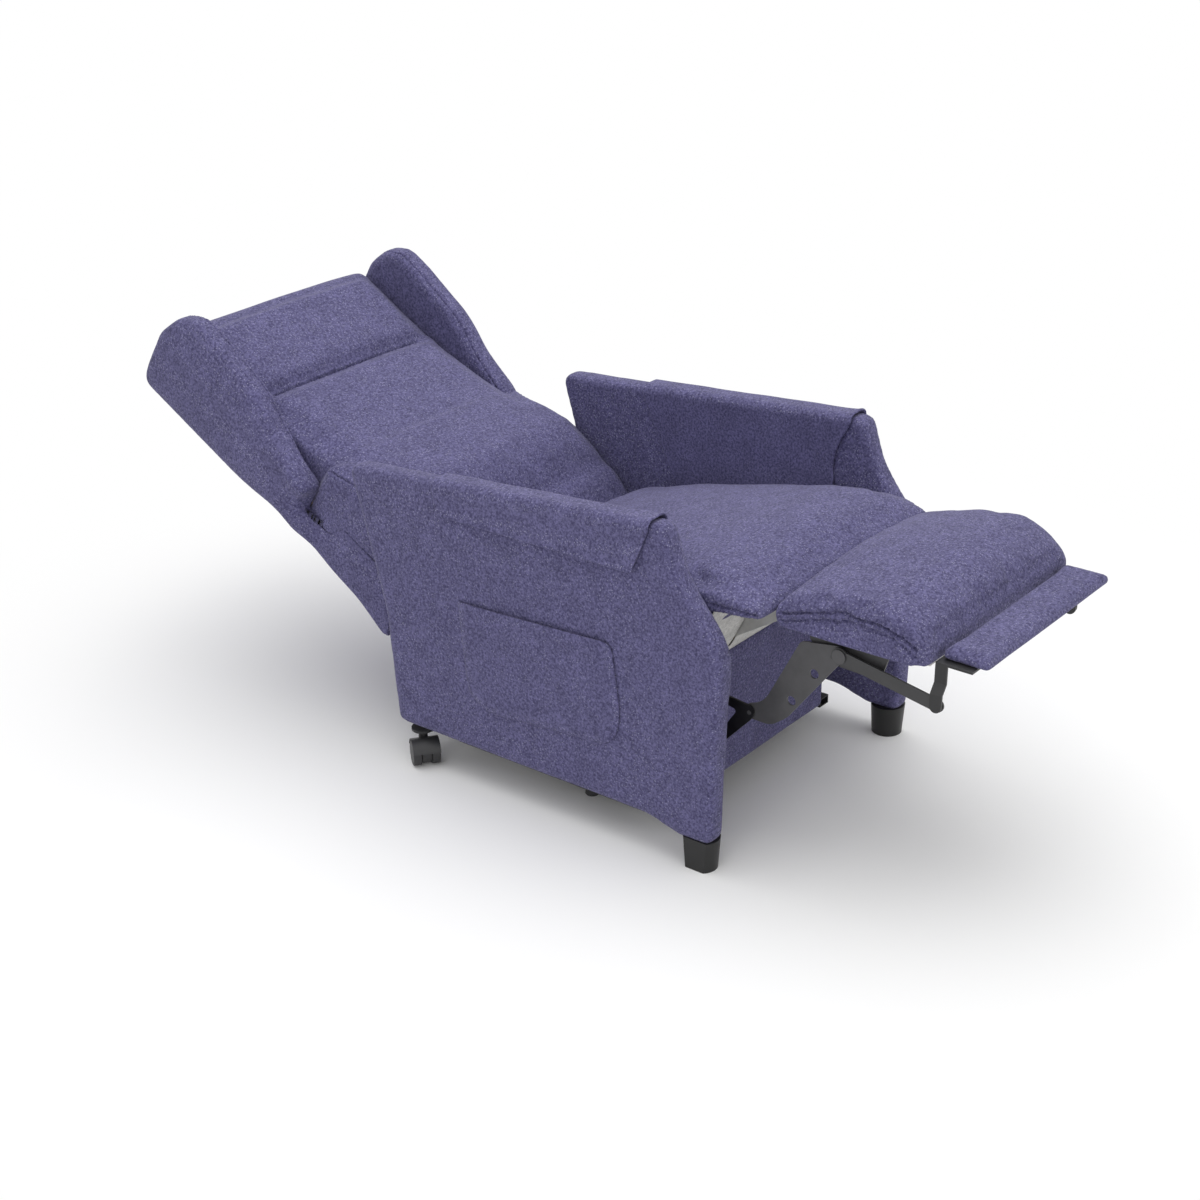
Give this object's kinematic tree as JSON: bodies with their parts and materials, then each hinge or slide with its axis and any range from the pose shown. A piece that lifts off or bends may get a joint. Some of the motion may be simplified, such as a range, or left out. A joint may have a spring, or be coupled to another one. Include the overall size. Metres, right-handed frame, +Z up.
{
  "type": "lift recliner",
  "caption": "Upholstered wing-back lift recliner with its back down and leg-rest out, on a lifting base with rear castors, a folding leg-rest linkage and linear motors.",
  "frame": {"origin": "middle of the whole object's box at floor level, in the stored reclined pose", "axes": "+X to the sitter's left, +Y to the chair's rear, +Z up"},
  "size_m": [0.747, 1.8336, 0.7803],
  "materials": {
    "felt": "heathered felt",
    "lining": "white non-woven",
    "wood": "plain sawn",
    "spring_steel": "bare wire",
    "dark_steel": "dark grey satin",
    "black_steel": "black satin",
    "rod_steel": "polished",
    "motor_plastic": "fine grain",
    "black_plastic": "satin black",
    "grey_plastic": "satin dark grey"
  },
  "bodies": {
    "base": {"base_rail_right": "dark_steel", "base_rail_left": "dark_steel", "base_front_tube": "dark_steel", "base_rear_tube": "dark_steel", "base_glides": "black_plastic"},
    "castor_swivel_right": {"castor_hood_right": "grey_plastic"},
    "castor_swivel_left": {"castor_hood_left": "grey_plastic"},
    "castor_roll_right": {"castor_wheels_right": "grey_plastic"},
    "castor_roll_left": {"castor_wheels_left": "grey_plastic"},
    "lift_arms": {"lift_arm_right": "dark_steel", "lift_arm_left": "dark_steel", "lift_torque_tube": "dark_steel"},
    "lift_links": {"lift_links": "dark_steel"},
    "lift_motor": {"lift_motor": "motor_plastic"},
    "lift_rod": {"lift_rod": "rod_steel"},
    "chassis": {"side_plate_right": "dark_steel", "side_plate_left": "dark_steel", "seat_side_rails": "wood", "seat_front_rail": "wood", "seat_rear_rail": "wood", "motor_tube": "dark_steel", "seat_springs": "spring_steel", "seat_cushion": "felt", "seat_lining": "lining", "arm_right": "felt", "arm_left": "felt", "arm_cover_right": "felt", "arm_cover_left": "felt", "side_pocket": "felt", "front_panel": "felt", "front_feet": "black_plastic", "legrest_hinge_arms": "dark_steel", "link_anchors": "dark_steel"},
    "back_motor": {"back_motor": "motor_plastic"},
    "back_rod": {"back_rod": "rod_steel"},
    "back": {"back_side_right": "wood", "back_side_left": "wood", "back_top_rail": "wood", "back_mid_rail": "wood", "back_drive_tube": "dark_steel", "back_hinge_right": "dark_steel", "back_hinge_left": "dark_steel", "back_cushion": "felt", "wing_right": "felt", "wing_left": "felt", "rear_cover": "felt"},
    "legrest": {"legrest_board": "wood", "legrest_pad": "felt", "legrest_hinges": "dark_steel", "legrest_bracket_right": "dark_steel", "legrest_bracket_left": "dark_steel"},
    "flap": {"flap_pad": "felt", "flap_hinges": "dark_steel", "flap_arms": "dark_steel"},
    "leg_struts": {"leg_strut_right": "dark_steel", "leg_strut_left": "dark_steel"},
    "lower_links": {"lower_links": "black_steel"},
    "flap_links": {"flap_links": "dark_steel"}
  },
  "joints": [
    {"name": "lift", "type": "hinge", "parent": "base", "child": "lift_arms", "pos_m": [0, -0.21684, 0.08], "axis": [1, 0, 0], "range_deg": [0, 40]},
    {"name": "lift_tilt", "type": "hinge", "parent": "lift_arms", "child": "chassis", "pos_m": [0, 0.20816, 0.095], "axis": [1, 0, 0], "range_deg": [-16.01, 0]},
    {"name": "lift_link", "type": "hinge", "parent": "base", "child": "lift_links", "pos_m": [0, -0.26364, 0.0919], "axis": [1, 0, 0], "range_deg": [0, 45.5]},
    {"name": "lift_motor_pivot", "type": "hinge", "parent": "base", "child": "lift_motor", "pos_m": [0, 0.16816, 0.06], "axis": [1, 0, 0], "range_deg": [-3.28, 0]},
    {"name": "lift_rod_slide", "type": "slide", "parent": "lift_motor", "child": "lift_rod", "axis": [0, -0.9839, 0.1789], "range_m": [0, 0.04185]},
    {"name": "recline", "type": "hinge", "parent": "chassis", "child": "back", "pos_m": [0, 0.27816, 0.32], "axis": [1, 0, 0], "range_deg": [0, 45]},
    {"name": "back_motor_pivot", "type": "hinge", "parent": "chassis", "child": "back_motor", "pos_m": [0, -0.07184, 0.215], "axis": [1, 0, 0], "range_deg": [0, 3]},
    {"name": "back_rod_slide", "type": "slide", "parent": "back_motor", "child": "back_rod", "axis": [0, 0.9965, 0.083], "range_m": [0, 0.05458]},
    {"name": "legrest", "type": "hinge", "parent": "chassis", "child": "legrest", "pos_m": [0, -0.50184, 0.455], "axis": [1, 0, 0], "range_deg": [0, 88]},
    {"name": "leg_strut", "type": "hinge", "parent": "legrest", "child": "leg_struts", "pos_m": [0, -0.63184, 0.441], "axis": [1, 0, 0], "range_deg": [-101.25, 0]},
    {"name": "lower_link", "type": "hinge", "parent": "leg_struts", "child": "lower_links", "pos_m": [0, -0.47084, 0.287], "axis": [1, 0, 0], "range_deg": [0, 118.86]},
    {"name": "flap", "type": "hinge", "parent": "legrest", "child": "flap", "pos_m": [0, -0.81984, 0.463], "axis": [1, 0, 0], "range_deg": [0, 35.22]},
    {"name": "flap_link", "type": "hinge", "parent": "flap", "child": "flap_links", "pos_m": [0, -0.83684, 0.415], "axis": [1, 0, 0], "range_deg": [-30.82, 0]},
    {"name": "castor_swivel_right", "type": "hinge", "parent": "base", "child": "castor_swivel_right", "pos_m": [-0.324, 0.23216, 0.06], "axis": [0, 0, 1], "continuous": true},
    {"name": "castor_roll_right", "type": "hinge", "parent": "castor_swivel_right", "child": "castor_roll_right", "pos_m": [-0.335, 0.21816, 0.025], "axis": [-0.7863, 0.6178, 0], "continuous": true},
    {"name": "castor_swivel_left", "type": "hinge", "parent": "base", "child": "castor_swivel_left", "pos_m": [0.324, 0.23216, 0.06], "axis": [0, 0, 1], "continuous": true},
    {"name": "castor_roll_left", "type": "hinge", "parent": "castor_swivel_left", "child": "castor_roll_left", "pos_m": [0.335, 0.21816, 0.025], "axis": [0.7863, 0.6178, 0], "continuous": true}
  ],
  "couplings": [
    {"joint": "lift_tilt", "follows": "lift", "ratio": -0.4},
    {"joint": "lift_link", "follows": "lift", "ratio": 1.137},
    {"joint": "lift_motor_pivot", "follows": "lift", "ratio": -0.08201},
    {"joint": "lift_rod_slide", "follows": "lift", "m_per_rad": 0.059908},
    {"joint": "back_motor_pivot", "follows": "recline", "ratio": 0.066556},
    {"joint": "back_rod_slide", "follows": "recline", "m_per_rad": 0.069464},
    {"joint": "leg_strut", "follows": "legrest", "ratio": -1.15},
    {"joint": "lower_link", "follows": "legrest", "ratio": 1.35},
    {"joint": "flap", "follows": "legrest", "ratio": 0.4},
    {"joint": "flap_link", "follows": "legrest", "ratio": -0.35}
  ]
}
